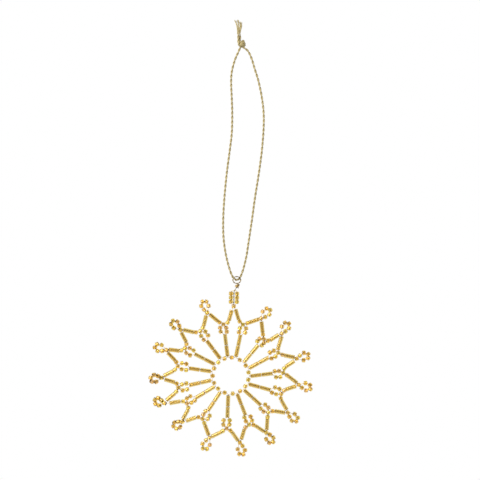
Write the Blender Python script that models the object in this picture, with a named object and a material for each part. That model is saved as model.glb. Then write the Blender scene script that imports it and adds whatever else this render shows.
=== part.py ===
"""Beaded snowflake ornament: glass seed and tube beads on wire, an eye and a hanging cord.

Metres, +Z up. The star lies in the XZ plane and its front faces -Y. The origin is the
hanging point, inside the cord's loop and just under its knot. Angles in the star run
clockwise from straight up, as seen from the front.
"""
import math

import bmesh
import bpy
from mathutils import Matrix, Vector

MM = 0.001

# Beads and wire
SEED_DIAMETER = 2.5 * MM
SEED_LENGTH = 2.1 * MM
TUBE_DIAMETER = 2.5 * MM
TUBE_LENGTH = 6.8 * MM
WIRE_DIAMETER = 0.45 * MM
BEAD_SIDES = 5
CLEARANCE = 0.3 * MM  # between one piece and the next
SEED_SHOULDER = 0.20  # of a seed's length, from its middle to where it is widest
SEED_MOUTH = 0.55  # of a seed's diameter, across its end faces

# The ring, where each spoke's foot reaches in between two seeds
FOOT_ROOM = 1.07  # of a tube's diameter, between two seeds
FOOT_RISE = 0.88  # of a seed's radius, from the ring's wire out to a spoke's foot

# Gaps left on the wire
TUBE_GAP = 0.35 * MM  # between the two tubes of a spoke
LOOP_GAP = 0.15 * MM  # between the seeds of a loop, over a seed's width
LEG_GAP = 0.2 * MM  # between a leg's seed and its tube
TIP_GAP = 0.6 * MM  # between a leg's tube and the seed of its tip
LEG_APART = 0.2 * MM  # between the two tubes of a tip, where they come nearest
STRANDS_APART = 0.5 * MM  # between the middles of two wires side by side in a seed

# The inner loops, in seed pitches along and across
LOOP_FOOT = 0.67
LOOP_HEAD = 0.85
LOOP_HALF_WIDTH = 0.72
LOOP_STAGGER = 0.55
LEG_FOOT = 1.06  # from a head seed out to its two leg seeds

# The outer loops are ellipses of five seeds each, in seed pitches, and their seeds'
# first place and steps round the ellipse, in degrees from its outer end
OUTER_HALF_LENGTH = 1.12
OUTER_HALF_WIDTH = 0.86
OUTER_SETBACK = 0.74  # from the tip's seed to the ellipse
OUTER_FIRST = 146.0
OUTER_STEP = 64.0

# The top tip is open, with two straight columns of three seeds beside the stem
COLUMN_SEEDS = 3
COLUMN_FOOT = 1.06  # seed pitches, from the tip's seed to the columns' first seeds
COLUMN_GAP = 0.3 * MM  # between a column and the stem
COLUMN_TIGHTER = 0.055 * MM  # less between its seeds than round a loop

# The hanging eye over the top tip
STEM_LENGTH = 8.6 * MM  # from the columns' last seeds to the eye's middle
STEM_SHIFT = 1.5 * MM
STEM_BOW = 0.8 * MM  # sideways, over the columns
STEM_WIRES = 1.5  # wire diameters, across the twisted pair of the stem and the eye
EYE_HALF_WIDTH = 2.45 * MM
EYE_HALF_HEIGHT = 2.15 * MM
EYE_SIDES = 18
EYE_MOUTH = 156.0  # degrees round the eye, to where the wraps start
WRAP_DIAMETER = 2.0 * MM
WRAP_TURNS = 4
WRAP_PITCH = 1.2  # wire diameters
WRAP_LEAN = 24.0
WRAP_DROP = 0.5 * MM  # from the eye's wire to the first turn
CUT_END = 1.55 * MM  # from the last turn's middle
CUT_END_WAY = 122.0  # degrees clockwise from straight up

# The hanging cord
CORD_DIAMETER = 1.1 * MM
CORD_SPACING = 4.2 * MM  # at most, between the tube's rings
TAIL_SPACING = 2.5 * MM
EYE_PLACE = Vector((-2.9, 0.0, -147.4)) * MM  # where the cord carries the eye
KNOT_WIDTH = 4.5 * MM
KNOT_HEIGHT = 4.2 * MM
KNOT_BOTTOM = -0.5 * MM
KNOT_ASIDE = 1.05 * MM  # the ball's middle, right of the hanging point
TURN_ASIDE = -1.15 * MM  # the same for the tails' turn beside the ball

# The handmade unevenness of each ray, from the one left of the top tip and clockwise:
# degrees astray at the ring, degrees astray at its head, how much further out, how far
# its loop bulges clockwise, and the degrees at which its leg seeds leave the head seed.
FIRST_RAY = -7.5
STRAY = 1.0 * MM  # the unit of the lengths in this table and the next
RAYS = (
    (-1.5, -0.5, -0.5, -0.5, -55.0, 75.0),
    (-1.0, -3.0, -0.1, 0.6, -60.0, 58.0),
    (4.0, 1.5, -2.0, -0.1, -52.0, 72.0),
    (3.5, 0.0, 0.1, -0.6, -65.0, 50.0),
    (3.0, -1.5, 0.0, 0.6, -75.0, 35.0),
    (2.5, -2.5, 0.7, -0.7, -70.0, 75.0),
    (0.5, -2.0, 0.0, -0.3, -62.0, 53.0),
    (0.0, -1.0, -0.2, -0.8, -65.0, 72.0),
    (2.5, 0.0, 0.2, 0.3, -65.0, 50.0),
    (3.5, 4.5, -0.6, -0.8, -55.0, 80.0),
    (3.5, 5.0, -0.5, 0.8, -75.0, 60.0),
    (0.0, 0.5, 0.7, -0.4, -50.0, 80.0),
    (1.5, -0.5, 0.7, 0.5, -60.0, 60.0),
    (0.5, -3.5, 0.4, -0.3, -62.0, 78.0),
    (0.0, -3.0, 0.8, 0.7, -70.0, 72.0),
)

# The same for each tip, from the top one and clockwise: the side with three seeds,
# degrees that its loop leans clockwise, how far it strays clockwise, how much further
# out it is, and degrees that its loop tips towards the front.
TIPS = (
    (1, -1.0, 0.9, 1.0, 0.0),
    (1, 14.0, -0.7, 0.0, 0.0),
    (1, -20.0, 0.3, 0.0, 10.0),
    (-1, -1.5, -0.8, 0.0, 0.0),
    (1, 6.0, -0.4, 0.0, -8.0),
    (1, 8.0, 0.3, 0.2, 6.0),
    (-1, 2.0, 0.5, -0.1, 12.0),
    (-1, -3.0, 0.6, 0.2, 0.0),
    (1, 8.0, -0.3, -0.1, -6.0),
    (1, 6.0, 1.2, 0.4, 30.0),
    (1, 30.0, 2.0, 1.4, 35.0),
    (1, 0.0, 0.4, 0.4, -34.0),
    (-1, -5.0, 0.5, -0.1, 15.0),
    (1, 4.0, -0.1, 0.1, -18.0),
    (-1, 1.5, 0.0, 0.2, 18.0),
)

# The cord's route from the knot down the left, through the eye and up the right, in mm
CORD_ROUTE = (
    (-0.8, 0.0, -1.1),
    (-1.9, 0.0, -3.6),
    (-4.2, 0.0, -9.0),
    (-6.0, 0.0, -15.8),
    (-6.5, 0.0, -22.7),
    (-6.1, 0.0, -32.8),
    (-5.8, 0.0, -42.2),
    (-6.1, 0.0, -54.8),
    (-7.5, 0.0, -66.8),
    (-9.3, 0.0, -80.6),
    (-10.8, 0.0, -96.4),
    (-11.5, 0.0, -109.6),
    (-11.3, 0.0, -120.3),
    (-10.1, -0.2, -129.8),
    (-8.3, -0.6, -137.7),
    (-6.5, -1.0, -143.2),
    (-5.0, -1.1, -146.0),
    (-2.9, 0.0, -147.4),
    (-1.0, 1.1, -146.1),
    (0.2, 1.0, -143.4),
    (1.5, 0.6, -139.3),
    (3.1, 0.2, -132.6),
    (4.7, 0.0, -122.2),
    (6.6, 0.0, -109.6),
    (8.6, 0.0, -95.1),
    (10.9, 0.0, -80.6),
    (12.9, 0.0, -65.5),
    (14.0, 0.0, -51.0),
    (13.9, 0.0, -41.0),
    (12.7, 0.0, -31.5),
    (10.7, 0.0, -22.0),
    (8.4, 0.0, -14.5),
    (6.4, 0.0, -7.9),
    (4.3, 0.0, -3.4),
    (1.9, 0.0, -1.3),
)

# The two tails, in mm, their heights from the knot's top
LEFT_TAIL = (
    (-1.9, -0.5, 0.0),
    (-2.1, -0.5, 4.2),
    (-2.5, -0.5, 8.0),
    (-3.0, -0.4, 10.2),
    (-3.9, -0.2, 12.2),
)
RIGHT_TAIL = (
    (-1.0, 0.6, 0.0),
    (-1.0, 0.6, 4.2),
    (-0.7, 0.5, 6.6),
    (-0.3, 0.4, 8.2),
    (-0.5, 0.4, 9.9),
    (-0.8, 0.4, 11.2),
)

# Colours and finishes
GLASS_GOLD = ((0.50, 0.30, 0.07, 1.0), 0.25, 0.6)
GLASS_AMBER = ((0.62, 0.34, 0.08, 1.0), 0.22, 0.6)
WIRE_GOLD = ((0.58, 0.42, 0.20, 1.0), 0.30, 1.0)
CORD_GOLD = ((0.47, 0.37, 0.17, 1.0), 0.55, 0.3)

SMOOTH_UP_TO = math.radians(80)
WELD = 0.001 * MM  # vertices that are closer than this become one

SEED_RADIUS = SEED_DIAMETER / 2
TUBE_RADIUS = TUBE_DIAMETER / 2
WIRE_RADIUS = WIRE_DIAMETER / 2
STEM_RADIUS = STEM_WIRES * WIRE_RADIUS
RAY_COUNT = len(RAYS)
RAY_STEP = 360.0 / RAY_COUNT
RING_RADIUS = RAY_COUNT * (SEED_LENGTH + FOOT_ROOM * TUBE_DIAMETER) / (2 * math.pi)
SPOKE_FOOT = RING_RADIUS + FOOT_RISE * SEED_RADIUS
SPOKE_LENGTH = 2 * TUBE_LENGTH + TUBE_GAP
LOOP_PITCH = SEED_DIAMETER + LOOP_GAP
LEG_LENGTH = SEED_LENGTH + LEG_GAP + TUBE_LENGTH + TIP_GAP
COLUMN_OFF = STEM_RADIUS + COLUMN_GAP + SEED_RADIUS


def polar(degrees, distance):
    """A place in the star's plane, clockwise from straight up."""
    turn = math.radians(degrees)
    return Vector((math.sin(turn), 0.0, math.cos(turn))) * distance


def clockwise(way):
    """The way a quarter turn clockwise of a way in the star's plane."""
    return Vector((way.z, 0.0, -way.x))


def ray_layout(index):
    """Where one ray's spoke, loop and head seed lie, from the star's middle."""
    ring_off, head_off, further, bulge, left_way, right_way = RAYS[index]
    even = FIRST_RAY + RAY_STEP * index
    further, bulge = further * STRAY, bulge * STRAY
    foot = polar(even + ring_off, SPOKE_FOOT + further / 4)
    head_way = polar(even + head_off, 1.0)
    end = foot + (head_way * (foot.length + SPOKE_LENGTH) - foot).normalized() * SPOKE_LENGTH
    head = head_way * (
        SPOKE_FOOT + SPOKE_LENGTH + (LOOP_FOOT + 1.0 + LOOP_HEAD) * LOOP_PITCH + further
    )
    way = (head - end).normalized()
    side = clockwise(way)
    reach = (head - end).length / (LOOP_FOOT + 1.0 + LOOP_HEAD)
    seeds = []
    for across, steps in ((1, (0, 1)), (-1, (1, 0))):
        for step in steps:
            along = (LOOP_FOOT + step) * reach + across * bulge * LOOP_STAGGER
            off = across * LOOP_HALF_WIDTH * LOOP_PITCH + bulge
            seeds.append(end + way * along + side * off)
    return {
        "foot": foot,
        "end": end,
        "head": head,
        "way": way,
        "seeds": seeds,
        "left": head + polar(even + head_off + left_way, LEG_FOOT * LOOP_PITCH),
        "right": head + polar(even + head_off + right_way, LEG_FOOT * LOOP_PITCH),
    }


def tip_layout(index, rays):
    """Where one tip's seed and loop lie. Its two legs come from the rays beside it."""
    before, after = rays[index], rays[(index + 1) % RAY_COUNT]
    left, right = before["right"], after["left"]
    three_side, lean, astray, further, tilt = TIPS[index]
    half = (right - left).length / 2
    across = (right - left).normalized()
    out = -clockwise(across)
    rise = math.sqrt(LEG_LENGTH**2 - half**2)
    sine, cosine = half / LEG_LENGTH, rise / LEG_LENGTH
    aside = TUBE_RADIUS * cosine + LEG_APART / 2 - (SEED_LENGTH / 2 + TIP_GAP) * sine
    base = (left + right) / 2 + out * (rise + further * STRAY) + across * astray * STRAY
    turn = math.degrees(math.atan2(base.x, base.z)) + lean
    way = polar(turn, 1.0)
    side = clockwise(way)
    way = Matrix.Rotation(math.radians(-tilt), 3, side) @ way
    tip = {"base": base, "way": way, "side": side, "turn": three_side}
    tip["legs"] = [
        (before["head"], left, base - across * aside),
        (after["head"], right, base + across * aside),
    ]
    if index == 0:
        pitch = LOOP_PITCH - COLUMN_TIGHTER
        foot = base + way * COLUMN_FOOT * LOOP_PITCH
        tip["columns"] = [
            [foot + way * step * pitch + side * across * COLUMN_OFF for step in range(COLUMN_SEEDS)]
            for across in (-1, 1)
        ]
        return tip
    middle = base + way * (OUTER_SETBACK + OUTER_HALF_LENGTH) * LOOP_PITCH
    tip["seeds"] = []
    for step in range(5):
        angle = math.radians(OUTER_FIRST - OUTER_STEP * step)
        tip["seeds"].append(
            middle
            + way * math.cos(angle) * OUTER_HALF_LENGTH * LOOP_PITCH
            + side * math.sin(angle) * OUTER_HALF_WIDTH * LOOP_PITCH * three_side
        )
    return tip


def seed_stops(centre, axis, ends=(False, False)):
    """Widths along a seed bead, with its end faces where no wire runs on."""
    stops = []
    if ends[0]:
        stops.append((centre - axis * SEED_LENGTH / 2, SEED_RADIUS * SEED_MOUTH))
    stops.append((centre - axis * SEED_LENGTH * SEED_SHOULDER, SEED_RADIUS))
    stops.append((centre + axis * SEED_LENGTH * SEED_SHOULDER, SEED_RADIUS))
    if ends[1]:
        stops.append((centre + axis * SEED_LENGTH / 2, SEED_RADIUS * SEED_MOUTH))
    return stops


def loop_stops(centres, before, after):
    """A string of seeds with a neck of wire between each two, from before to after."""
    stops = []
    places = [before, *centres, after]
    for behind, centre, ahead in zip(places, centres, places[2:]):
        axis = (ahead - behind).normalized()
        if stops:
            stops.append(((mouth + centre - axis * SEED_LENGTH / 2) / 2, WIRE_RADIUS))
        stops += seed_stops(centre, axis)
        mouth = centre + axis * SEED_LENGTH / 2
    return stops


def make_material(name, finish):
    """A Principled material of its own for one piece."""
    colour, roughness, metallic = finish
    material = bpy.data.materials.new(name)
    material.use_nodes = True
    shader = material.node_tree.nodes["Principled BSDF"]
    shader.inputs["Base Color"].default_value = colour
    shader.inputs["Roughness"].default_value = roughness
    shader.inputs["Metallic"].default_value = metallic
    material.diffuse_color = colour
    return material


def add_section():
    """The cross-section that the bead strings are swept with, 1 mm in radius."""
    data = bpy.data.curves.new("bead_section", "CURVE")
    data.dimensions = "2D"
    spline = data.splines.new("POLY")
    spline.points.add(BEAD_SIDES - 1)
    for index, point in enumerate(spline.points):
        turn = 2 * math.pi * index / BEAD_SIDES
        point.co = (math.cos(turn) * MM, math.sin(turn) * MM, 0.0, 1.0)
    spline.use_cyclic_u = True
    section = bpy.data.objects.new("bead_section", data)
    section.hide_render = True
    section.display_type = "WIRE"
    guides.objects.link(section)
    return section


def sweep(name, stops, closed=False, section=None, resolution=2):
    """A tube through stops, each a place and a radius, as a closed mesh object."""
    data = bpy.data.curves.new(name, "CURVE")
    data.dimensions = "3D"
    spline = data.splines.new("POLY")
    spline.points.add(len(stops) - 1)
    for point, (place, radius) in zip(spline.points, stops):
        point.co = (*place, 1.0)
        point.radius = radius / MM
    spline.use_cyclic_u = closed
    if section:
        data.bevel_mode = "OBJECT"
        data.bevel_object = section
    else:
        data.bevel_depth = MM
        data.bevel_resolution = resolution
    data.use_fill_caps = not closed
    curve = bpy.data.objects.new(name, data)
    pieces.objects.link(curve)
    bpy.context.view_layer.update()
    evaluated = curve.evaluated_get(bpy.context.evaluated_depsgraph_get())
    mesh = bpy.data.meshes.new_from_object(evaluated)
    bpy.data.objects.remove(curve)
    weld(mesh)
    return add_piece(name, mesh)


def weld(mesh):
    """Closes a tube's caps, and clears the slivers that a union leaves."""
    shape = bmesh.new()
    shape.from_mesh(mesh)
    bmesh.ops.remove_doubles(shape, verts=shape.verts, dist=WELD)
    bmesh.ops.recalc_face_normals(shape, faces=shape.faces)
    shape.to_mesh(mesh)
    shape.free()


def add_piece(name, mesh):
    """A mesh as an object in the ornament's collection."""
    mesh.name = name
    piece = bpy.data.objects.new(name, mesh)
    pieces.objects.link(piece)
    return piece


def join(piece, others):
    """One body from pieces that run into each other."""
    for other in others:
        union = piece.modifiers.new("union", "BOOLEAN")
        union.operation = "UNION"
        union.solver = "EXACT"
        union.use_self = True
        union.object = other
    bpy.context.view_layer.update()
    evaluated = piece.evaluated_get(bpy.context.evaluated_depsgraph_get())
    mesh = bpy.data.meshes.new_from_object(evaluated)
    weld(mesh)
    name = piece.name
    for old in (piece, *others):
        bpy.data.objects.remove(old)
    return add_piece(name, mesh)


def finish(piece, look):
    """The piece's own material, and smooth shading round it but not over its ends."""
    piece.data.shade_smooth()
    piece.data.set_sharp_from_angle(angle=SMOOTH_UP_TO)
    piece.data.materials.clear()
    piece.data.materials.append(make_material(piece.name, look))
    return piece


def ellipsoid(name, middle, half_sizes, segments=10, rings=7):
    """A ball squashed to three half sizes."""
    shape = bmesh.new()
    bmesh.ops.create_uvsphere(shape, u_segments=segments, v_segments=rings, radius=1.0)
    bmesh.ops.scale(shape, vec=half_sizes, verts=shape.verts)
    bmesh.ops.translate(shape, vec=middle, verts=shape.verts)
    mesh = bpy.data.meshes.new(name)
    shape.to_mesh(mesh)
    shape.free()
    return add_piece(name, mesh)


def make_ring(rays, section):
    """The ring of seeds that the spokes grow from. Its wire bends out at each foot."""
    stops = []
    feet = [ray["foot"] for ray in rays]
    for index, foot in enumerate(feet):
        after = feet[(index + 1) % RAY_COUNT]
        centre = (foot.normalized() + after.normalized()).normalized() * RING_RADIUS
        axis = (after - foot).normalized()
        bend = foot.length - CLEARANCE - WIRE_RADIUS
        stops.append((foot.normalized() * bend, WIRE_RADIUS))
        stops.append((centre - axis * SEED_LENGTH / 2, WIRE_RADIUS))
        stops += seed_stops(centre, axis)
        stops.append((centre + axis * SEED_LENGTH / 2, WIRE_RADIUS))
    return finish(sweep("centre_ring", stops, True, section), GLASS_AMBER)


def make_spoke(name, ray, section):
    """Two tube beads end to end, with a neck of wire between them."""
    way = (ray["end"] - ray["foot"]).normalized()
    middle = (ray["foot"] + ray["end"]) / 2
    stops = [
        (ray["foot"], TUBE_RADIUS),
        (ray["foot"] + way * TUBE_LENGTH, TUBE_RADIUS),
        (middle, WIRE_RADIUS),
        (ray["end"] - way * TUBE_LENGTH, TUBE_RADIUS),
        (ray["end"], TUBE_RADIUS),
    ]
    return finish(sweep(name, stops, False, section), GLASS_GOLD)


def make_inner_loop(name, ray, section):
    """Five seeds round a loop of wire, the last at the outer end."""
    foot = ray["end"] + ray["way"] * (CLEARANCE + WIRE_RADIUS)
    string = [*reversed(ray["seeds"][2:]), ray["head"], *reversed(ray["seeds"][:2])]
    stops = loop_stops(string, foot, foot)
    stops.append((foot, WIRE_RADIUS))
    return finish(sweep(name, stops, True, section), GLASS_AMBER)


def leg_stops(head, seed, aim):
    """A leg from near a ray's head to beside the tip's seed: one seed, then one tube."""
    axis = ((aim - seed).normalized() + (seed - head).normalized()).normalized()
    mouth = seed + axis * SEED_LENGTH / 2
    way = (aim - mouth).normalized()
    room = (aim - mouth).length - TUBE_LENGTH - SEED_LENGTH / 2
    tube = mouth + way * room * LEG_GAP / (LEG_GAP + TIP_GAP)
    end = tube + way * TUBE_LENGTH
    return [
        *seed_stops(seed, axis, (True, False)),
        ((mouth + tube) / 2, WIRE_RADIUS),
        (tube, TUBE_RADIUS),
        (end, TUBE_RADIUS),
        (end + way * CLEARANCE / 2, WIRE_RADIUS),
    ]


def make_point(name, tip, section):
    """Two legs, the seed where they meet and the loop of seeds beyond it."""
    way, base = tip["way"], tip["base"]
    strand = tip["side"] * STRANDS_APART / 2
    reach = way * SEED_LENGTH * SEED_SHOULDER
    seed = sweep(name, seed_stops(base, way, (True, True)), False, section)
    strings = []
    for across, leg in zip((-1, 1), tip["legs"]):
        strings.append([*leg_stops(*leg), (base - reach + strand * across, WIRE_RADIUS)])
    if "columns" in tip:
        for across, column in zip((-1, 1), tip["columns"]):
            mouth = base + reach + strand * across
            stops = [(mouth, WIRE_RADIUS), *loop_stops(column, mouth, column[-1] * 2 - column[-2])]
            stops.append((column[-1] + way * SEED_LENGTH / 2, SEED_RADIUS * SEED_MOUTH))
            strings.append(stops)
    else:
        mouth, back = base + reach + strand * tip["turn"], base + reach - strand * tip["turn"]
        neck = tip["seeds"][-1] + (back - tip["seeds"][-2]).normalized() * SEED_LENGTH / 2
        stops = [(mouth, WIRE_RADIUS), *loop_stops(tip["seeds"], mouth, back)]
        stops += [(neck, WIRE_RADIUS), (back, WIRE_RADIUS)]
        strings.append(stops)
    bodies = [sweep(name + "_string", stops, False, section) for stops in strings]
    return finish(join(seed, bodies), GLASS_GOLD)


def make_eye(tip, middle):
    """The wire eye, the wraps under it and the stem down between the top columns."""
    circle = []
    for step in range(EYE_SIDES):
        place = polar(360 * step / EYE_SIDES, 1.0)
        place = Vector((place.x * EYE_HALF_WIDTH, 0.0, place.z * EYE_HALF_HEIGHT))
        circle.append((middle + place, STEM_RADIUS))
    eye = sweep("hanger_eye", circle, True, None, 1)
    first, last = [sum((column[end] for column in tip["columns"]), Vector()) / 2 for end in (0, -1)]
    lean = polar(180 + WRAP_LEAN, 1.0)
    pitch = WIRE_DIAMETER * WRAP_PITCH
    mouth = polar(EYE_MOUTH, 1.0)
    mouth = middle + Vector((mouth.x * EYE_HALF_WIDTH, 0.0, mouth.z * EYE_HALF_HEIGHT))
    top = mouth + lean * WRAP_DROP
    radius = WRAP_DIAMETER / 2
    stops = [(mouth, STEM_RADIUS), (top, STEM_RADIUS)]
    for turn in range(WRAP_TURNS):
        stops.append((top + lean * pitch * (turn + 0.30), radius))
        stops.append((top + lean * pitch * (turn + 0.75), radius))
        stops.append((top + lean * pitch * (turn + 1.0), radius - WIRE_RADIUS / 2))
    bottom = top + lean * pitch * WRAP_TURNS
    stops.append((bottom + lean * WIRE_RADIUS, STEM_RADIUS))
    stops.append((last + tip["way"] * SEED_LENGTH * 1.3 + tip["side"] * STEM_BOW, STEM_RADIUS))
    stops.append((last + tip["way"] * SEED_LENGTH * 0.5, STEM_RADIUS))
    stops.append((first, STEM_RADIUS))
    stem = sweep("hanger_stem", stops, False, None, 1)
    end = bottom + polar(CUT_END_WAY, CUT_END)
    cut = sweep("hanger_cut_end", [(bottom, WIRE_RADIUS), (end, WIRE_RADIUS)], False, None, 1)
    return finish(join(eye, [stem, cut]), WIRE_GOLD)


def smooth_route(points, spacing, bend=math.radians(16)):
    """Places along a smooth curve through points, closer where it bends, in metres."""
    places = [Vector(point) * MM for point in points]
    padded = [places[0] * 2 - places[1], *places, places[-1] * 2 - places[-2]]
    route = []
    for index in range(1, len(padded) - 2):
        before, start, end, after = padded[index - 1 : index + 3]
        turn = (end - before).angle(after - start)
        steps = max(1, round((end - start).length / spacing), math.ceil(turn / bend))
        for step in range(steps):
            t = step / steps
            place = start * 2 + (end - before) * t
            place += (before * 2 - start * 5 + end * 4 - after) * t**2
            place += (start * 3 - before - end * 3 + after) * t**3
            route.append(place / 2)
    route.append(places[-1])
    return route


def make_cord(name, points, spacing, rise=0.0):
    """One plain tube along a route, which may be given from a height."""
    rise = Vector((0.0, 0.0, rise))
    stops = [(place + rise, CORD_DIAMETER / 2) for place in smooth_route(points, spacing)]
    return finish(sweep(name, stops), CORD_GOLD)


def make_knot():
    """The knot's outer shape: the ball of the knot and the tails' turn beside it."""
    middle = KNOT_BOTTOM + KNOT_HEIGHT / 2
    ball = ellipsoid(
        "cord_knot",
        Vector((KNOT_ASIDE, 0.0, middle)),
        Vector((0.34 * KNOT_WIDTH, 0.37 * KNOT_WIDTH, KNOT_HEIGHT / 2)),
    )
    turn = ellipsoid(
        "cord_knot_turn",
        Vector((TURN_ASIDE, 0.0, middle)),
        Vector((0.24 * KNOT_WIDTH, 0.36 * KNOT_WIDTH, 0.45 * KNOT_HEIGHT)),
    )
    return finish(join(ball, [turn]), CORD_GOLD)


for old in list(bpy.data.objects):
    bpy.data.objects.remove(old)
pieces = bpy.data.collections.new("beaded_snowflake_ornament")
guides = bpy.data.collections.new("guides")
bpy.context.scene.collection.children.link(pieces)
bpy.context.scene.collection.children.link(guides)

bead_section = add_section()
rays = [ray_layout(index) for index in range(RAY_COUNT)]
tips = [tip_layout(index, rays) for index in range(RAY_COUNT)]

# The star hangs from the eye, so it is laid out from its own middle and then moved
top = tips[0]
last_seeds = (top["columns"][0][-1] + top["columns"][1][-1]) / 2
eye_from_middle = last_seeds + top["way"] * STEM_LENGTH + top["side"] * STEM_SHIFT
shift = EYE_PLACE - eye_from_middle
star = bpy.data.objects.new("star_middle", None)
star.location = shift
pieces.objects.link(star)

made = [make_ring(rays, bead_section)]
for index, ray in enumerate(rays):
    made.append(make_spoke(f"spoke_{index + 1:02d}", ray, bead_section))
    made.append(make_inner_loop(f"inner_loop_{index + 1:02d}", ray, bead_section))
for index, tip in enumerate(tips):
    made.append(make_point(f"point_{index + 1:02d}", tip, bead_section))
made.append(make_eye(top, eye_from_middle))
for piece in made:
    piece.parent = star

make_knot()
make_cord("hanging_cord", CORD_ROUTE, CORD_SPACING)
tails_from = KNOT_BOTTOM + KNOT_HEIGHT + CLEARANCE
make_cord("cord_tail_left", LEFT_TAIL, TAIL_SPACING, tails_from)
make_cord("cord_tail_right", RIGHT_TAIL, TAIL_SPACING, tails_from)
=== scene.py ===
import math
import random

import bmesh
import bpy
from mathutils import Matrix, Vector


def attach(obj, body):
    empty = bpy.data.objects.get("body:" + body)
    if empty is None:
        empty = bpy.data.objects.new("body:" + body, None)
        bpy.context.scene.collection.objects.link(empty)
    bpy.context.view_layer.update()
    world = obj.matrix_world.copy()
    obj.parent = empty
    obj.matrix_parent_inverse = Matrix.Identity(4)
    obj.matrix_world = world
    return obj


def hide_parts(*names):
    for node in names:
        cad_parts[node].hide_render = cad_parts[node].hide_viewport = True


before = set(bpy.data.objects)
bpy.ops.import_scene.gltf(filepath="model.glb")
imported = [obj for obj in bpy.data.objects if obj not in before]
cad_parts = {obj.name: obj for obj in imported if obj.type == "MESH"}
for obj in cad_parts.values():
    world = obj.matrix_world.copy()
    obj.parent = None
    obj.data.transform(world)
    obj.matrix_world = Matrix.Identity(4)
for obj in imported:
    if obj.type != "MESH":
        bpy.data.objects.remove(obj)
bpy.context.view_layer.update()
mm = 0.001
body = "root"


# Camera, lights and floor

view = {
    "pixel": 0.63 * mm,  # real size of one pixel of the photograph, at the star
    "pixels": 480,
    "middle": Vector((-0.9, 0.0, -122.2)) * mm,
    "lens": 85.0,
    "sensor": 36.0,
    "nearest": 0.01,  # nothing nearer to the camera than this is drawn
}


def addCamera():
    distance = view["pixel"] * view["pixels"] * view["lens"] / view["sensor"]
    data = bpy.data.cameras.new("camera")
    data.lens = view["lens"]
    data.sensor_width = view["sensor"]
    data.clip_start = view["nearest"]
    camera = bpy.data.objects.new("camera", data)
    camera.location = view["middle"] - Vector((0.0, distance, 0.0))
    camera.rotation_euler = (math.radians(90), 0.0, 0.0)
    bpy.context.scene.collection.objects.link(camera)
    bpy.context.scene.camera = camera


studio = {
    "floorHeight": -0.45,
    "floorRadius": 0.6,
    "floorSides": 64,
    "floorTone": 0.88,
    "floorRoughness": 0.9,
    "front": 0.45,  # how bright the room is on the camera's side
    "back": 1.0,  # and behind the ornament
    "backFrom": 0.05,  # how far round to the back it starts to brighten, from -1 to 1
    "backTo": 0.95,
    "softboxes": (  # name, place, width, height, watts
        ("key", (-0.58, -0.45, 0.34), 0.80, 0.80, 12.0),
        ("fill", (0.75, -0.45, -0.15), 0.50, 0.70, 1.0),
    ),
}


def addSoftboxes(aim):
    for name, place, width, height, watts in studio["softboxes"]:
        data = bpy.data.lights.new(name, "AREA")
        data.shape = "RECTANGLE"
        data.size = width
        data.size_y = height
        data.energy = watts
        light = bpy.data.objects.new(name, data)
        light.location = place
        light.rotation_euler = (aim - Vector(place)).to_track_quat("-Z", "Y").to_euler()
        bpy.context.scene.collection.objects.link(light)


# Shader maths: a Signal is a socket, and an expression on Signals adds Math nodes

class Signal:
    def __init__(self, tree, socket=None):
        self.tree = tree
        self.socket = socket

    def node(self, kind, settings=None, values=None, output=0):  # any node, its settings first
        made = self.tree.nodes.new(kind)
        for name, value in (settings or {}).items():
            if name == "stops":
                setStops(made.color_ramp, value)
            else:
                setattr(made, name, value)
        for name, value in (values or {}).items():
            if isinstance(value, Signal):
                self.tree.links.new(value.socket, made.inputs[name])
            else:
                made.inputs[name].default_value = value
        return Signal(self.tree, made.outputs[output])

    def maths(self, operation, first, second):
        return self.node("ShaderNodeMath", {"operation": operation}, {0: first, 1: second})

    def __add__(self, other):
        return self.maths("ADD", self, other)

    def __radd__(self, other):
        return self.maths("ADD", other, self)

    def __sub__(self, other):
        return self.maths("SUBTRACT", self, other)

    def __rsub__(self, other):
        return self.maths("SUBTRACT", other, self)

    def __mul__(self, other):
        return self.maths("MULTIPLY", self, other)

    def __rmul__(self, other):
        return self.maths("MULTIPLY", other, self)


def setStops(ramp, stops):
    while len(ramp.elements) < len(stops):
        ramp.elements.new(0.5)  # anywhere, since each is moved below
    for element, (place, colour) in zip(ramp.elements, stops):
        element.position = place
        element.color = colour


def newMaterial(name, constants):  # a Principled material with its plain values set on the sockets
    material = bpy.data.materials.new(name)
    material.use_nodes = True
    shader = material.node_tree.nodes["Principled BSDF"]
    for socket, value in constants.items():
        shader.inputs[socket].default_value = value
    return material, Signal(material.node_tree), shader


def connect(signal, shader, socket):
    signal.tree.links.new(signal.socket, shader.inputs[socket])


def addWorld():
    world = bpy.data.worlds.new("studio")
    bpy.context.scene.world = world
    world.use_nodes = True
    tree = world.node_tree
    start = Signal(tree)
    direction = start.node("ShaderNodeTexCoord", output=0)
    backwards = start.node("ShaderNodeSeparateXYZ", {}, {0: direction}, 1)
    room = start.node(
        "ShaderNodeMapRange",
        {"interpolation_type": "SMOOTHSTEP"},
        {
            "Value": backwards,
            "From Min": studio["backFrom"],
            "From Max": studio["backTo"],
            "To Min": studio["front"],
            "To Max": studio["back"],
        },
    )
    seen = start.node("ShaderNodeLightPath", output=0)  # 1 where the camera sees the room itself
    strength = room * (1.0 - seen) + seen
    tree.links.new(strength.socket, tree.nodes["Background"].inputs["Strength"])
    tree.nodes["Background"].inputs["Color"].default_value = (1.0, 1.0, 1.0, 1.0)


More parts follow.
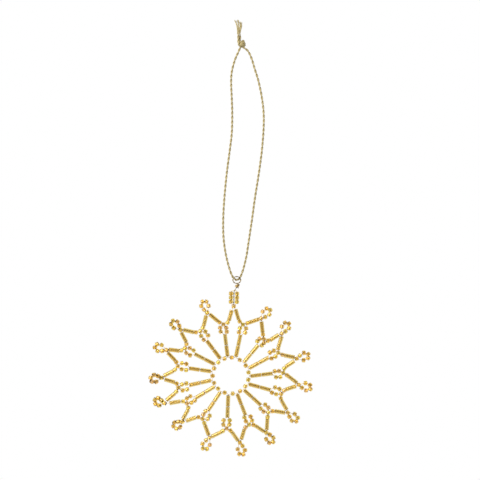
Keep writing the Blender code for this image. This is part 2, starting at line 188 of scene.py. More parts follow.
def addFloor():
    shape = bmesh.new()
    bmesh.ops.create_circle(
        shape, cap_ends=True, segments=studio["floorSides"], radius=studio["floorRadius"]
    )
    bmesh.ops.translate(shape, vec=(0.0, 0.0, studio["floorHeight"]), verts=shape.verts)
    mesh = bpy.data.meshes.new("floor")
    shape.to_mesh(mesh)
    shape.free()
    tone = studio["floorTone"]
    paper = {"Base Color": (tone, tone, tone, 1.0), "Roughness": studio["floorRoughness"]}
    material, _, _ = newMaterial("floorPaper", paper)
    mesh.materials.append(material)
    floor = bpy.data.objects.new("floor", mesh)
    bpy.context.scene.collection.objects.link(floor)


addCamera()
addWorld()
addSoftboxes(view["middle"])
addFloor()
bpy.context.scene.view_settings.view_transform = "Standard"
print("camera, lights and floor are in place")


# Where everything lies. Angles run clockwise from straight up, seen from the front

bead = {
    "seedWidth": 2.5 * mm,
    "seedLength": 2.1 * mm,
    "tubeWidth": 2.5 * mm,
    "tubeLength": 6.8 * mm,
    "wireWidth": 0.45 * mm,
}
spacing = {
    "footRoom": 1.07,  # tube widths between two seeds of the ring
    "footRise": 0.88,  # seed radii from the ring's wire out to a spoke's foot
    "footShare": 0.25,  # of a ray's mm further out, where its spoke starts
    "tubeGap": 0.35 * mm,  # between the two tubes of a spoke
    "loopGap": 0.15 * mm,  # between the seeds of a loop, over a seed's width
    "legFoot": 1.06,  # seed pitches from a head seed to its leg seeds
    "legGap": 0.2 * mm,  # between a leg's seed and its tube
    "tipGap": 0.6 * mm,  # between a leg's tube and the seed of its tip
    "legApart": 0.2 * mm,  # between the two tubes of a tip, where they come nearest
    "apart": 0.3 * mm,  # between one piece and the next
}
innerLoop = {  # in seed pitches
    "foot": 0.67,  # from the spoke's end to the first seeds
    "head": 0.85,  # from the last seeds to the head seed
    "halfWidth": 0.72,
    "stagger": 0.55,  # of its bulge: further out on one side, further in on the other
}
outerLoop = {  # an ellipse, in seed pitches
    "seeds": 5,
    "halfLength": 1.12,
    "halfWidth": 0.86,
    "setback": 0.74,  # from the tip's seed to the ellipse
    "first": 146.0,  # degrees from its outer end to its first seed
    "step": 64.0,  # and on to each next one
}
topColumns = {
    "seeds": 3,
    "foot": 1.06,  # seed pitches, from the tip's seed to the columns' first seeds
    "gap": 0.3 * mm,  # between a column and the stem
    "tighter": 0.055 * mm,  # less between its seeds than round a loop
}
eyeSizes = {
    "stemLength": 8.6 * mm,  # from the columns' last seeds to the eye's middle
    "stemShift": 1.5 * mm,
    "stemBow": 0.8 * mm,
    "stemWires": 1.5,  # wire diameters across the stem's twisted pair
    "halfWidth": 2.45 * mm,
    "halfHeight": 2.15 * mm,
    "mouth": 156.0,  # degrees round the eye, to where the stem starts
    "place": Vector((-2.9, 0.0, -147.4)) * mm,
}

# Each ray: degrees astray at the ring and at its head, mm further out, mm that its loop
# bulges, and the degrees at which its two leg seeds leave the head seed
firstRay = -7.5  # degrees from straight up
rayTable = (
    (-1.5, -0.5, -0.5, -0.5, -55.0, 75.0),
    (-1.0, -3.0, -0.1, 0.6, -60.0, 58.0),
    (4.0, 1.5, -2.0, -0.1, -52.0, 72.0),
    (3.5, 0.0, 0.1, -0.6, -65.0, 50.0),
    (3.0, -1.5, 0.0, 0.6, -75.0, 35.0),
    (2.5, -2.5, 0.7, -0.7, -70.0, 75.0),
    (0.5, -2.0, 0.0, -0.3, -62.0, 53.0),
    (0.0, -1.0, -0.2, -0.8, -65.0, 72.0),
    (2.5, 0.0, 0.2, 0.3, -65.0, 50.0),
    (3.5, 4.5, -0.6, -0.8, -55.0, 80.0),
    (3.5, 5.0, -0.5, 0.8, -75.0, 60.0),
    (0.0, 0.5, 0.7, -0.4, -50.0, 80.0),
    (1.5, -0.5, 0.7, 0.5, -60.0, 60.0),
    (0.5, -3.5, 0.4, -0.3, -62.0, 78.0),
    (0.0, -3.0, 0.8, 0.7, -70.0, 72.0),
)
# Each tip: the side with three seeds, degrees that its loop leans, mm astray, mm further
# out, and degrees that its loop tips towards the back
tipTable = (
    (1, -1.0, 0.9, 1.0, 0.0),
    (1, 14.0, -0.7, 0.0, 0.0),
    (1, -20.0, 0.3, 0.0, 10.0),
    (-1, -1.5, -0.8, 0.0, 0.0),
    (1, 6.0, -0.4, 0.0, -8.0),
    (1, 8.0, 0.3, 0.2, 6.0),
    (-1, 2.0, 0.5, -0.1, 12.0),
    (-1, -3.0, 0.6, 0.2, 0.0),
    (1, 8.0, -0.3, -0.1, -6.0),
    (1, 6.0, 1.2, 0.4, 30.0),
    (1, 30.0, 2.0, 1.4, 35.0),
    (1, 0.0, 0.4, 0.4, -34.0),
    (-1, -5.0, 0.5, -0.1, 15.0),
    (1, 4.0, -0.1, 0.1, -18.0),
    (-1, 1.5, 0.0, 0.2, 18.0),
)

rayCount = len(rayTable)
seedRadius = bead["seedWidth"] / 2
tubeRadius = bead["tubeWidth"] / 2
wireRadius = bead["wireWidth"] / 2
ringRadius = rayCount * (bead["seedLength"] + spacing["footRoom"] * bead["tubeWidth"]) / (2 * math.pi)
spokeFoot = ringRadius + spacing["footRise"] * seedRadius
spokeLength = 2 * bead["tubeLength"] + spacing["tubeGap"]
pitch = bead["seedWidth"] + spacing["loopGap"]
legLength = bead["seedLength"] + spacing["legGap"] + bead["tubeLength"] + spacing["tipGap"]
stemRadius = eyeSizes["stemWires"] * wireRadius
columnOff = stemRadius + topColumns["gap"] + seedRadius


def polar(degrees, distance=1.0):
    turn = math.radians(degrees)
    return Vector((math.sin(turn), 0.0, math.cos(turn))) * distance


def clockwise(way):  # square to a way in the star's plane, to its right
    return Vector((way.z, 0.0, -way.x))


def rayLayout(index):
    ringOff, headOff, further, bulge, leftWay, rightWay = rayTable[index]
    even = firstRay + 360.0 / rayCount * index
    further, bulge = further * mm, bulge * mm
    loopReach = innerLoop["foot"] + 1.0 + innerLoop["head"]
    foot = polar(even + ringOff, spokeFoot + further * spacing["footShare"])
    headWay = polar(even + headOff)
    end = foot + (headWay * (foot.length + spokeLength) - foot).normalized() * spokeLength
    head = headWay * (spokeFoot + spokeLength + loopReach * pitch + further)
    way = (head - end).normalized()
    side = clockwise(way)
    reach = (head - end).length / loopReach
    seeds = []
    for across, steps in ((1, (0, 1)), (-1, (1, 0))):  # out along the right, back along the left
        for step in steps:
            along = (innerLoop["foot"] + step) * reach + across * bulge * innerLoop["stagger"]
            off = across * innerLoop["halfWidth"] * pitch + bulge
            seeds.append(end + way * along + side * off)
    return {
        "foot": foot,
        "end": end,
        "head": head,
        "way": way,
        "seeds": seeds,
        "left": head + polar(even + headOff + leftWay, spacing["legFoot"] * pitch),
        "right": head + polar(even + headOff + rightWay, spacing["legFoot"] * pitch),
    }


def tipLayout(index, rays):
    before, after = rays[index], rays[(index + 1) % rayCount]
    left, right = before["right"], after["left"]
    threeSide, lean, astray, further, tilt = tipTable[index]
    half = (right - left).length / 2
    across = (right - left).normalized()
    rise = math.sqrt(legLength**2 - half**2)
    sine, cosine = half / legLength, rise / legLength
    short = bead["seedLength"] / 2 + spacing["tipGap"]  # how far short of the tip a leg's tube ends
    aside = tubeRadius * cosine + spacing["legApart"] / 2 - short * sine
    base = (left + right) / 2 - clockwise(across) * (rise + further * mm) + across * astray * mm
    way = polar(math.degrees(math.atan2(base.x, base.z)) + lean)
    side = clockwise(way)
    way = Matrix.Rotation(math.radians(-tilt), 3, side) @ way
    tip = {"base": base, "way": way, "side": side}
    tip["legs"] = [
        (before["head"], left, base - across * aside),
        (after["head"], right, base + across * aside),
    ]
    if index == 0:
        foot = base + way * topColumns["foot"] * pitch
        step = way * (pitch - topColumns["tighter"])
        tip["columns"] = [
            [foot + step * count + side * across * columnOff for count in range(topColumns["seeds"])]
            for across in (-1, 1)
        ]
        return tip
    middle = base + way * (outerLoop["setback"] + outerLoop["halfLength"]) * pitch
    tip["seeds"] = []
    for count in range(outerLoop["seeds"]):
        angle = math.radians(outerLoop["first"] - outerLoop["step"] * count)
        along = way * math.cos(angle) * outerLoop["halfLength"] * pitch
        off = side * math.sin(angle) * outerLoop["halfWidth"] * pitch * threeSide
        tip["seeds"].append(middle + along + off)
    return tip


rays = [rayLayout(index) for index in range(rayCount)]
tips = [tipLayout(index, rays) for index in range(rayCount)]
topTip = tips[0]
lastSeeds = (topTip["columns"][0][-1] + topTip["columns"][1][-1]) / 2
eyeMiddle = lastSeeds + topTip["way"] * eyeSizes["stemLength"] + topTip["side"] * eyeSizes["stemShift"]
starMiddle = eyeSizes["place"] - eyeMiddle  # everything in the star is laid out from its own middle
print("the star's middle is at", [round(value / mm, 1) for value in starMiddle])


# Materials

seedGlass = {
    "tones": (
        (0.0, (0.91, 0.57, 0.10, 1.0)),
        (0.3, (0.93, 0.65, 0.13, 1.0)),
        (0.6, (0.94, 0.74, 0.16, 1.0)),
        (0.8, (0.92, 0.60, 0.23, 1.0)),
        (1.0, (0.89, 0.70, 0.13, 1.0)),
    ),
    "constants": {"Roughness": 0.05, "IOR": 1.52, "Transmission Weight": 1.0},
}
tubeGlass = {
    "tones": (
        (0.0, (0.86, 0.61, 0.14, 1.0)),
        (0.5, (0.89, 0.67, 0.18, 1.0)),
        (1.0, (0.91, 0.72, 0.23, 1.0)),
    ),
    "constants": {"Roughness": 0.06, "IOR": 1.52, "Transmission Weight": 1.0},
}
# In a metal finish, grain is the scale of its noise and polish the roughness where it is darkest
seedLining = {
    "tones": ((0.3, (0.72, 0.61, 0.41, 1.0)), (0.7, (0.80, 0.69, 0.49, 1.0))),
    "constants": {"Metallic": 1.0},
    "grain": 2500.0,
    "polish": 0.18,
}
tubeLining = {
    "tones": ((0.3, (0.65, 0.53, 0.35, 1.0)), (0.7, (0.72, 0.61, 0.43, 1.0))),
    "constants": {"Metallic": 1.0},
    "grain": 2500.0,
    "polish": 0.18,
}
wireFinish = {  # of the wire that shows between the beads
    "tones": ((0.35, (0.72, 0.50, 0.15, 1.0)), (0.65, (0.95, 0.74, 0.30, 1.0))),
    "constants": {"Metallic": 0.7},
    "grain": 700.0,
    "polish": 0.32,
}
agedEyeAndStemShadeFinish = {  # of the eye, whose wire is aged darker, and of its stem, where the dark tones are painted shade
    "tones": ((0.35, (0.17, 0.115, 0.035, 1.0)), (0.65, (0.35, 0.25, 0.08, 1.0))),
    "constants": {"Metallic": 1.0},
    "grain": 700.0,
    "polish": 0.18,
}
woundFinish = {  # of the turns wound round the stem
    "tones": ((0.35, (0.34, 0.22, 0.07, 1.0)), (0.65, (0.62, 0.44, 0.16, 1.0))),
    "constants": {"Metallic": 0.85},
    "grain": 700.0,
    "polish": 0.25,
}
metalGrain = {"detail": 3.0, "dulling": 0.3}  # dulling: roughness added where the noise is highest
threadFinish = {
    "tones": (
        (0.2, (0.25, 0.195, 0.08, 1.0)),
        (0.6, (0.43, 0.345, 0.15, 1.0)),
        (0.9, (0.64, 0.53, 0.27, 1.0)),
    ),
    "constants": {"Metallic": 0.2, "Roughness": 0.5},
    "filaments": 5.0,  # round one ply
    "slant": 26.0,  # turns of a filament for each unit of the UV map along the ply
    "filamentGrooveShadeShare": 0.45,  # how much of the tone comes from the filaments, darker in the grooves between them as painted shade
    "fuzz": 1500.0,  # the scale of the noise over it
    "fuzzDetail": 2.0,
    "fuzzShare": 0.6,
    "depth": 0.025 * mm,
    "bump": 0.6,
}


def beadMaterial(name, finish):
    material, start, shader = newMaterial(name, finish["constants"])
    tint = start.node("ShaderNodeAttribute", {"attribute_name": "beadTint"}, {}, 2)  # as a number
    colour = start.node("ShaderNodeValToRGB", {"stops": finish["tones"]}, {0: tint})
    connect(colour, shader, "Base Color")
    return material


def metalMaterial(name, finish):
    material, start, shader = newMaterial(name, finish["constants"])
    place = start.node("ShaderNodeTexCoord", output=3)  # from the object's origin
    grain = {"Vector": place, "Scale": finish["grain"], "Detail": metalGrain["detail"]}
    noise = start.node("ShaderNodeTexNoise", {}, grain)
    colour = start.node("ShaderNodeValToRGB", {"stops": finish["tones"]}, {0: noise})
    connect(colour, shader, "Base Color")
    connect(finish["polish"] + noise * metalGrain["dulling"], shader, "Roughness")
    return material


def threadMaterial(name, finish):
    material, start, shader = newMaterial(name, finish["constants"])
    uv = start.node("ShaderNodeUVMap", {"uv_map": "UVMap"})
    around = start.node("ShaderNodeSeparateXYZ", {}, {0: uv}, 0)
    along = start.node("ShaderNodeSeparateXYZ", {}, {0: uv}, 1)
    phase = (around * finish["filaments"] + along * finish["slant"]) * (2 * math.pi)
    wave = start.maths("SINE", phase, 0.0) * 0.5 + 0.5
    place = start.node("ShaderNodeTexCoord", output=3)  # from the object's origin
    fuzz = {"Vector": place, "Scale": finish["fuzz"], "Detail": finish["fuzzDetail"]}
    noise = start.node("ShaderNodeTexNoise", {}, fuzz)
    # the filaments' wave is also the bump's height, so the tone is darker in the grooves: painted shade
    tone = wave * finish["filamentGrooveShadeShare"] + noise * finish["fuzzShare"]
    colour = start.node("ShaderNodeValToRGB", {"stops": finish["tones"]}, {0: tone})
    connect(colour, shader, "Base Color")
    relief = {"Height": wave, "Strength": finish["bump"], "Distance": finish["depth"]}
    bump = start.node("ShaderNodeBump", {}, relief)
    connect(bump, shader, "Normal")
    return material


glossMaterials = [
    beadMaterial("seedGlass", seedGlass),
    beadMaterial("tubeGlass", tubeGlass),
    metalMaterial("seedLining", seedLining),
    metalMaterial("tubeLining", tubeLining),
    metalMaterial("goldWire", wireFinish),
]
eyeMaterials = [
    *glossMaterials,
    metalMaterial("agedEyeWireAndStemShade", agedEyeAndStemShadeFinish),
    metalMaterial("woundWire", woundFinish),
]
slotCount = len(eyeMaterials)  # the slots' numbers follow the order of this list
seedSlot, tubeSlot, seedLiningSlot, tubeLiningSlot, wireSlot, agedEyeAndStemShadeSlot, woundSlot = range(slotCount)
thread = threadMaterial("goldThread", threadFinish)
print("materials are ready")


# Beads: one turned shape each, then copied to every place

turned = {
    "seedSides": 12,
    "seedWidth": 2.85 * mm,  # the widest of the rounded glass
    "seedLength": 2.5 * mm,
    "seedPoints": 6,  # round its outside, from one mouth of the hole to the other
    "fullness": 0.42,  # nearer 0, squarer shoulders
    "tubeSides": 16,
    "tubeWidth": 2.6 * mm,
    "hole": 0.42,  # of a solid bead's width
    "lined": 1.05,  # hole radii within which a face is lining
    "edge": 0.10 * mm,  # cut off a tube's rims
    "crisp": math.radians(40),  # an edge that bends more than this is a hard one
}


# A profile is a closed line of (radius, height), from the hole's lower mouth round the outside
def turnedBead(name, profile, sides, outerSlot, innerSlot):
    shape = bmesh.new()
    ring = [shape.verts.new((radius, 0.0, height)) for radius, height in profile]
    edges = [shape.edges.new((ring[index - 1], ring[index])) for index in range(len(ring))]
    full = {"cent": (0, 0, 0), "axis": (0, 0, 1), "angle": 2 * math.pi}
    bmesh.ops.spin(shape, geom=ring + edges, steps=sides, use_merge=True, **full)
    bmesh.ops.recalc_face_normals(shape, faces=shape.faces)
    for edge in shape.edges:
        edge.smooth = edge.calc_face_angle(0.0) < turned["crisp"]
    holeRadius = min(radius for radius, height in profile) * turned["lined"]
    for face in shape.faces:
        inside = all(vert.co.xy.length < holeRadius for vert in face.verts)
        face.material_index = innerSlot if inside else outerSlot
        face.smooth = True
    mesh = bpy.data.meshes.new(name)
    shape.to_mesh(mesh)
    shape.free()
    return mesh


def seedProfile():
    hole = seedRadius * turned["hole"]
    points = []
    for count in range(turned["seedPoints"]):
        angle = math.radians(-90 + 180 * count / (turned["seedPoints"] - 1))
        radius = hole + (turned["seedWidth"] / 2 - hole) * math.cos(angle) ** turned["fullness"]
        points.append((radius, turned["seedLength"] / 2 * math.sin(angle)))
    return points


def tubeProfile():
    hole = tubeRadius * turned["hole"]
    radius = turned["tubeWidth"] / 2
    edge = turned["edge"]
    half = bead["tubeLength"] / 2
    return [
        (hole, -half),
        (radius - edge, -half),
        (radius, edge - half),
        (radius, half - edge),
        (radius - edge, half),
        (hole, half),
    ]


seedShape = turnedBead("seedShape", seedProfile(), turned["seedSides"], seedSlot, seedLiningSlot)
tubeShape = turnedBead("tubeShape", tubeProfile(), turned["tubeSides"], tubeSlot, tubeLiningSlot)
handmade = random.Random(15)
handwork = {
    "seedUneven": 0.05,  # of its width, either way
    "tubeUneven": 0.03,
    "lengthShare": 0.6,  # of that, in a bead's length
    "sway": 0.12,  # how far a seed's axis may turn from its wire
}


def newPiece():
    shape = bmesh.new()
    shape.faces.layers.float.new("beadTint")
    return shape


def addBead(shape, kind, centre, axis, uneven):
    firstVert = len(shape.verts)
    firstFace = len(shape.faces)
    shape.from_mesh(kind)
    shape.verts.ensure_lookup_table()
    shape.faces.ensure_lookup_table()
    wide = 1 + handmade.uniform(-uneven, uneven)
    long = 1 + handmade.uniform(-uneven, uneven) * handwork["lengthShare"]
    tint = handmade.random()
    layer = shape.faces.layers.float["beadTint"]
    for face in shape.faces[firstFace:]:
        face[layer] = tint
    turn = axis.to_track_quat("Z", "Y").to_matrix().to_4x4()
    roll = Matrix.Rotation(handmade.uniform(0, 2 * math.pi), 4, "Z")
    size = Matrix.Diagonal((wide, wide, long, 1.0))
    place = Matrix.Translation(centre) @ turn @ roll @ size
    bmesh.ops.transform(shape, matrix=place, verts=shape.verts[firstVert:])


def addSeed(shape, centre, axis):
    most = handwork["sway"]
    sway = Vector([handmade.uniform(-most, most) for count in range(3)])
    addBead(shape, seedShape, centre, (axis.normalized() + sway).normalized(), handwork["seedUneven"])


def addTube(shape, start, end):
    addBead(shape, tubeShape, (start + end) / 2, (end - start).normalized(), handwork["tubeUneven"])


# Wires and threads: swept along points

stringing = {
    "radius": 0.17 * mm,  # of the wire that the beads are strung on
    "sides": 6,
    "bend": math.radians(16),  # the most that a smooth route turns from one step to the next
    "doubled": 1.1,  # radii that each of a spoke's two wires lies off its middle
    "loopStep": 0.8 * mm,  # between points of the wire
    "columnStep": 0.6 * mm,
    "intoSpoke": 0.5 * mm,  # how far an inner loop's wire reaches into its spoke
    "intoTip": 0.4,  # seed lengths from a tip's seed to where its loop leaves it
    "overColumn": 0.7,  # seed lengths from a column's last seed to where its wire turns in
    "joinsStem": 0.9,  # seed lengths over the last seeds, where it meets the stem
}


def sweptMesh(points, radii, sides, closed=False):
    data = bpy.data.curves.new("sweep", "CURVE")
    data.dimensions = "3D"
    spline = data.splines.new("POLY")
    spline.points.add(len(points) - 1)
    for point, place, radius in zip(spline.points, points, radii):
        point.co = (*place, 1.0)
        point.radius = radius / mm
    spline.use_cyclic_u = closed
    data.bevel_depth = mm
    data.bevel_resolution = (sides - 4) // 2  # a round bevel has 4 sides, and 2 more for each step
    data.use_fill_caps = not closed
    curve = bpy.data.objects.new("sweep", data)
    mesh = bpy.data.meshes.new_from_object(curve)
    bpy.data.objects.remove(curve)
    bpy.data.curves.remove(data)
    return mesh


def addWire(
    shape, points, radius=stringing["radius"], closed=False, sides=stringing["sides"], slot=wireSlot
):
    mesh = sweptMesh(points, [radius] * len(points), sides, closed)
    mesh.polygons.foreach_set("material_index", [slot] * len(mesh.polygons))
    mesh.polygons.foreach_set("use_smooth", [True] * len(mesh.polygons))
    shape.from_mesh(mesh)
    bpy.data.meshes.remove(mesh)


def smoothRoute(points, stepLength):  # a curve through the points, in shorter steps where it bends
    padded = [points[0] * 2 - points[1], *points, points[-1] * 2 - points[-2]]
    route = []
    for index in range(1, len(padded) - 2):
        before, start, end, after = padded[index - 1 : index + 3]
        turn = (end - before).angle(after - start, 0.0)
        steps = max(
            1, round((end - start).length / stepLength), math.ceil(turn / stringing["bend"])
        )
        for step in range(steps):
            t = step / steps
            place = start * 2 + (end - before) * t
            place += (before * 2 - start * 5 + end * 4 - after) * t**2
            place += (start * 3 - before - end * 3 + after) * t**3
            route.append(place / 2)
    route.append(points[-1].copy())
    return route


def finishPiece(name, shape, nodes, materials=glossMaterials, shift=None):
    if shift:
        bmesh.ops.translate(shape, vec=shift, verts=shape.verts)
    mesh = bpy.data.meshes.new(name)
    shape.to_mesh(mesh)
    shape.free()
    for material in materials:
        mesh.materials.append(material)
    piece = bpy.data.objects.new(name, mesh)
    bpy.context.scene.collection.objects.link(piece)
    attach(piece, body)
    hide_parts(*nodes)
    return piece


# The hanging cord: two plies twisted round the route

cord = {
    "diameter": 1.1 * mm,
    "length": 301 * mm,
    "layLength": 5.8 * mm,  # of cord for one full turn of its plies
    "plies": 2,
    "plyRadius": 0.38 * mm,
    "width": 1.46 * mm,  # over the two plies, where they lie side by side
    "plySides": 8,
    "stepsPerTurn": 14,
    "uvPerMm": 0.1,  # of the UV map, along a ply
}
cordStep = cord["layLength"] / cord["stepsPerTurn"]
cordRoute = (  # mm, as are the tails' routes over the knot
    (-0.8, 0.0, -1.1),
    (-1.9, 0.0, -3.6),
    (-4.2, 0.0, -9.0),
    (-6.0, 0.0, -15.8),
    (-6.5, 0.0, -22.7),
    (-6.1, 0.0, -32.8),
    (-5.8, 0.0, -42.2),
    (-6.1, 0.0, -54.8),
    (-7.5, 0.0, -66.8),
    (-9.3, 0.0, -80.6),
    (-10.8, 0.0, -96.4),
    (-11.5, 0.0, -109.6),
    (-11.3, 0.0, -120.3),
    (-10.1, -0.2, -129.8),
    (-8.3, -0.6, -137.7),
    (-6.5, -1.0, -143.2),
    (-5.0, -1.1, -146.0),
    (-2.9, 0.0, -147.4),
    (-1.0, 1.1, -146.1),
    (0.2, 1.0, -143.4),
    (1.5, 0.6, -139.3),
    (3.1, 0.2, -132.6),
    (4.7, 0.0, -122.2),
    (6.6, 0.0, -109.6),
    (8.6, 0.0, -95.1),
    (10.9, 0.0, -80.6),
    (12.9, 0.0, -65.5),
    (14.0, 0.0, -51.0),
    (13.9, 0.0, -41.0),
    (12.7, 0.0, -31.5),
    (10.7, 0.0, -22.0),
    (8.4, 0.0, -14.5),
    (6.4, 0.0, -7.9),
    (4.3, 0.0, -3.4),
    (1.9, 0.0, -1.3),
)
leftTail = (
    (-1.9, -0.5, 0.0),
    (-2.1, -0.5, 4.2),
    (-2.5, -0.5, 8.0),
    (-3.0, -0.4, 10.2),
    (-3.9, -0.2, 12.2),
)
rightTail = (
    (-1.0, 0.6, 0.0),
    (-1.0, 0.6, 4.2),
    (-0.7, 0.5, 6.6),
    (-0.3, 0.4, 8.2),
    (-0.5, 0.4, 9.9),
    (-0.8, 0.4, 11.2),
)


def evenRoute(points, step):  # places at equal steps along a smooth curve, and its length
    fine = smoothRoute(points, step / 2)
    lengths = [0.0]
    for start, end in zip(fine, fine[1:]):
        lengths.append(lengths[-1] + (end - start).length)
    count = max(2, round(lengths[-1] / step))
    places, index = [], 0
    for number in range(count + 1):
        at = lengths[-1] * number / count
        while index < len(fine) - 2 and lengths[index + 1] < at:
            index += 1
        share = (at - lengths[index]) / (lengths[index + 1] - lengths[index])
        places.append(fine[index].lerp(fine[index + 1], share))
    return places, lengths[-1]


def sideways(places):  # two directions across the route at each place, that turn little
    across = Vector((0.0, -1.0, 0.0))
    found = []
    for index, place in enumerate(places):
        ahead = places[min(index + 1, len(places) - 1)]
        behind = places[max(index - 1, 0)]
        along = (ahead - behind).normalized()
        across = (across - along * across.dot(along)).normalized()
        found.append((across.copy(), along.cross(across)))
    return found


def addPly(shape, places, radii, sides):  # one thread, with its own UV map
    mesh = sweptMesh(places, radii, sides)
    layer = shape.loops.layers.uv.get("UVMap") or shape.loops.layers.uv.new("UVMap")
    firstVert = len(shape.verts)
    firstFace = len(shape.faces)
    shape.from_mesh(mesh)
    bpy.data.meshes.remove(mesh)
    shape.faces.ensure_lookup_table()
    step = (places[1] - places[0]).length / mm
    for face in shape.faces[firstFace:]:
        face.smooth = True
        if len(face.loops) != 4:  # an end cap
            continue
        spots = [divmod(loop.vert.index - firstVert, sides) for loop in face.loops]
        overSeam = max(spot[1] for spot in spots) - min(spot[1] for spot in spots) > 1
        for loop, (ring, side) in zip(face.loops, spots):
            if overSeam and side == 0:
                side = sides
            loop[layer].uv = (side / sides, ring * step * cord["uvPerMm"])


def twistedPlies(places):  # the middle line of each ply
    apart = cord["width"] / 2 - cord["plyRadius"]
    step = (places[1] - places[0]).length
    frames = sideways(places)
    made = []
    for ply in range(cord["plies"]):
        line = []
        for index, (place, (across, up)) in enumerate(zip(places, frames)):
            turn = 2 * math.pi * (index * step / cord["layLength"] + ply / cord["plies"])
            line.append(place + (across * math.cos(turn) + up * math.sin(turn)) * apart)
        made.append(line)
    return made


def makeCord():
    points = [Vector(point) * mm for point in cordRoute]
    places, length = evenRoute(points, cordStep)
    shape = bmesh.new()
    for line in twistedPlies(places):
        addPly(shape, line, [cord["plyRadius"]] * len(line), cord["plySides"])
    piece = finishPiece("hanging_cord_twisted", shape, ["hanging_cord"], [thread])
    print("the cord from knot to knot is", round(length / mm, 1), "mm long")
    return piece, places


cordPiece, cordPlaces = makeCord()


# The tails

tail = {
    "loosened": 9.0 * mm,  # of its length, where the twist has opened and the plies lie side by side
    "untwist": 3,  # the higher, the sooner a ply leaves the twist
    "parting": 3,  # the higher, the later the plies part
    "frayed": 2.2 * mm,  # of its length, where each ply's filaments spread
    "shortest": 0.55,  # of that, the shortest filament
    "plyRadius": 0.46 * mm,  # at its end
    "filaments": 7,
    "filamentRadius": 0.11 * mm,
    "filamentSides": 6,
    "filamentSteps": 4,
    "sunk": 0.2 * mm,  # how deep a filament starts in its ply
    "jitter": 0.3,  # radians round the ply, either way
    "splay": 0.40 * mm,
    "splayBack": 0.2,  # of the splay, that a filament may lean inwards
}
leftSide = {  # in mm: how far the tail lies off its route, and its plies off the tail once it opens
    "seed": 3,  # of the random draws for its filaments
    "right": 0.0,
    "forward": 0.0,
    "looseForward": -0.3,
    "aside": ((-0.2, -0.2), (0.55, 1.2)),  # of each ply, where it parts and where it ends
}
rightSide = {
    "seed": 8,
    "right": 0.15,
    "forward": 0.4,
    "looseForward": 0.2,
    "aside": ((0.1, 0.2), (-0.7, -0.5)),
}
knotSizes = {
    "bottom": -0.5 * mm,  # of the solid knot
    "height": 4.2 * mm,
    "plyRadius": 0.46 * mm,
    "intoTail": 0.1 * mm,  # how far its strands reach into the tails
}
tailsFrom = knotSizes["bottom"] + knotSizes["height"] + spacing["apart"]


def tailPoints(route, side):
    moved = Vector((side["right"], -side["forward"], 0.0)) * mm + Vector((0.0, 0.0, tailsFrom))
    return [Vector(point) * mm + moved for point in route]


def addFilaments(shape, line, draw):  # from the end of a ply
    along = (line[-1] - line[-3]).normalized()
    out = tail["plyRadius"] - tail["filamentRadius"]
    steps = tail["filamentSteps"]
    for filament in range(tail["filaments"]):
        jitter = draw.uniform(-tail["jitter"], tail["jitter"])
        turn = 2 * math.pi * filament / tail["filaments"] + jitter
        away = Vector((math.cos(turn), math.sin(turn), 0.0))
        spread = tail["splay"] * draw.uniform(-tail["splayBack"], 1.0)
        reach = tail["frayed"] * draw.uniform(tail["shortest"], 1.0)
        strand = []
        for count in range(steps + 1):
            share = count / steps
            rise = along * (reach * share - tail["sunk"])
            strand.append(line[-1] + rise + away * (out + spread * share**2))
        addPly(shape, strand, [tail["filamentRadius"]] * len(strand), tail["filamentSides"])


def makeTail(name, route, node, side):
    draw = random.Random(side["seed"])
    places, length = evenRoute(tailPoints(route, side), cordStep)
    step = length / (len(places) - 1)
    opened = len(places) - round(tail["loosened"] / step)
    frayed = len(places) - round(tail["frayed"] / step)
    shape = bmesh.new()
    for line, (parting, ending) in zip(twistedPlies(places[: frayed + 1]), side["aside"]):
        radii = []
        for index in range(len(line)):
            share = min(1.0, max(0.0, (index - opened) / (frayed - opened)))
            across = parting + (ending - parting) * share ** tail["parting"]
            aside = Vector((across, -side["looseForward"], 0.0)) * mm
            line[index] = line[index].lerp(places[index] + aside, min(1.0, share * tail["untwist"]))
            radii.append(cord["plyRadius"] + (tail["plyRadius"] - cord["plyRadius"]) * share)
        addPly(shape, line, radii, cord["plySides"])
        addFilaments(shape, line, draw)
    return finishPiece(name, shape, [node], [thread])


leftPiece = makeTail("cord_tail_left_frayed", leftTail, "cord_tail_left", leftSide)
rightPiece = makeTail("cord_tail_right_frayed", rightTail, "cord_tail_right", rightSide)


# The knot. Its two strands lie beside each other: each row holds a place between them, and how
# far a strand that is 1 mm off to the right lies from there, in mm

knotRise = (
    ((0.4, 0.5, 0.1), (0.8, 0.0, 0.0)),
    ((0.7, 0.5, 1.7), (0.8, 0.0, 0.0)),
    ((1.0, 0.5, 3.1), (0.5, 0.0, -0.3)),
)
knotTurn = {  # round the standing strands once, from the right by the back, in mm
    "steps": 8,
    "middle": 0.28,
    "rightWidth": 1.75,
    "leftWidth": 1.6,
    "depth": 1.3,
    "top": 2.9,
    "drop": 2.3,
    "strandDrop": 0.95,  # of the right strand under the left one, for each mm
}
knotLeave = (
    ((0.1, -0.9, 0.2), (0.0, 0.0, -0.3)),
    ((-1.35, -1.2, 0.45), (0.35, 0.0, -0.2)),
    ((-1.55, -1.2, 1.6), (0.4, 0.2, 0.0)),
    ((-1.65, -0.9, 2.9), (0.45, 0.4, 0.0)),
)


def knotPoints(rows, off):
    return [Vector([at + shift * off for at, shift in zip(*row)]) * mm for row in rows]


def knotTurnPoints(off):
    points = []
    for count in range(1, knotTurn["steps"] + 1):
        turn = 2 * math.pi * count / knotTurn["steps"]
        width = knotTurn["rightWidth"] if math.cos(turn) > 0 else knotTurn["leftWidth"]
        x = knotTurn["middle"] + width * math.cos(turn)
        y = knotTurn["depth"] * math.sin(turn)
        fallen = knotTurn["drop"] * count / (knotTurn["steps"] + 1)
        z = knotTurn["top"] - fallen - off * knotTurn["strandDrop"]
        points.append(Vector((x, y, z)) * mm)
    return points


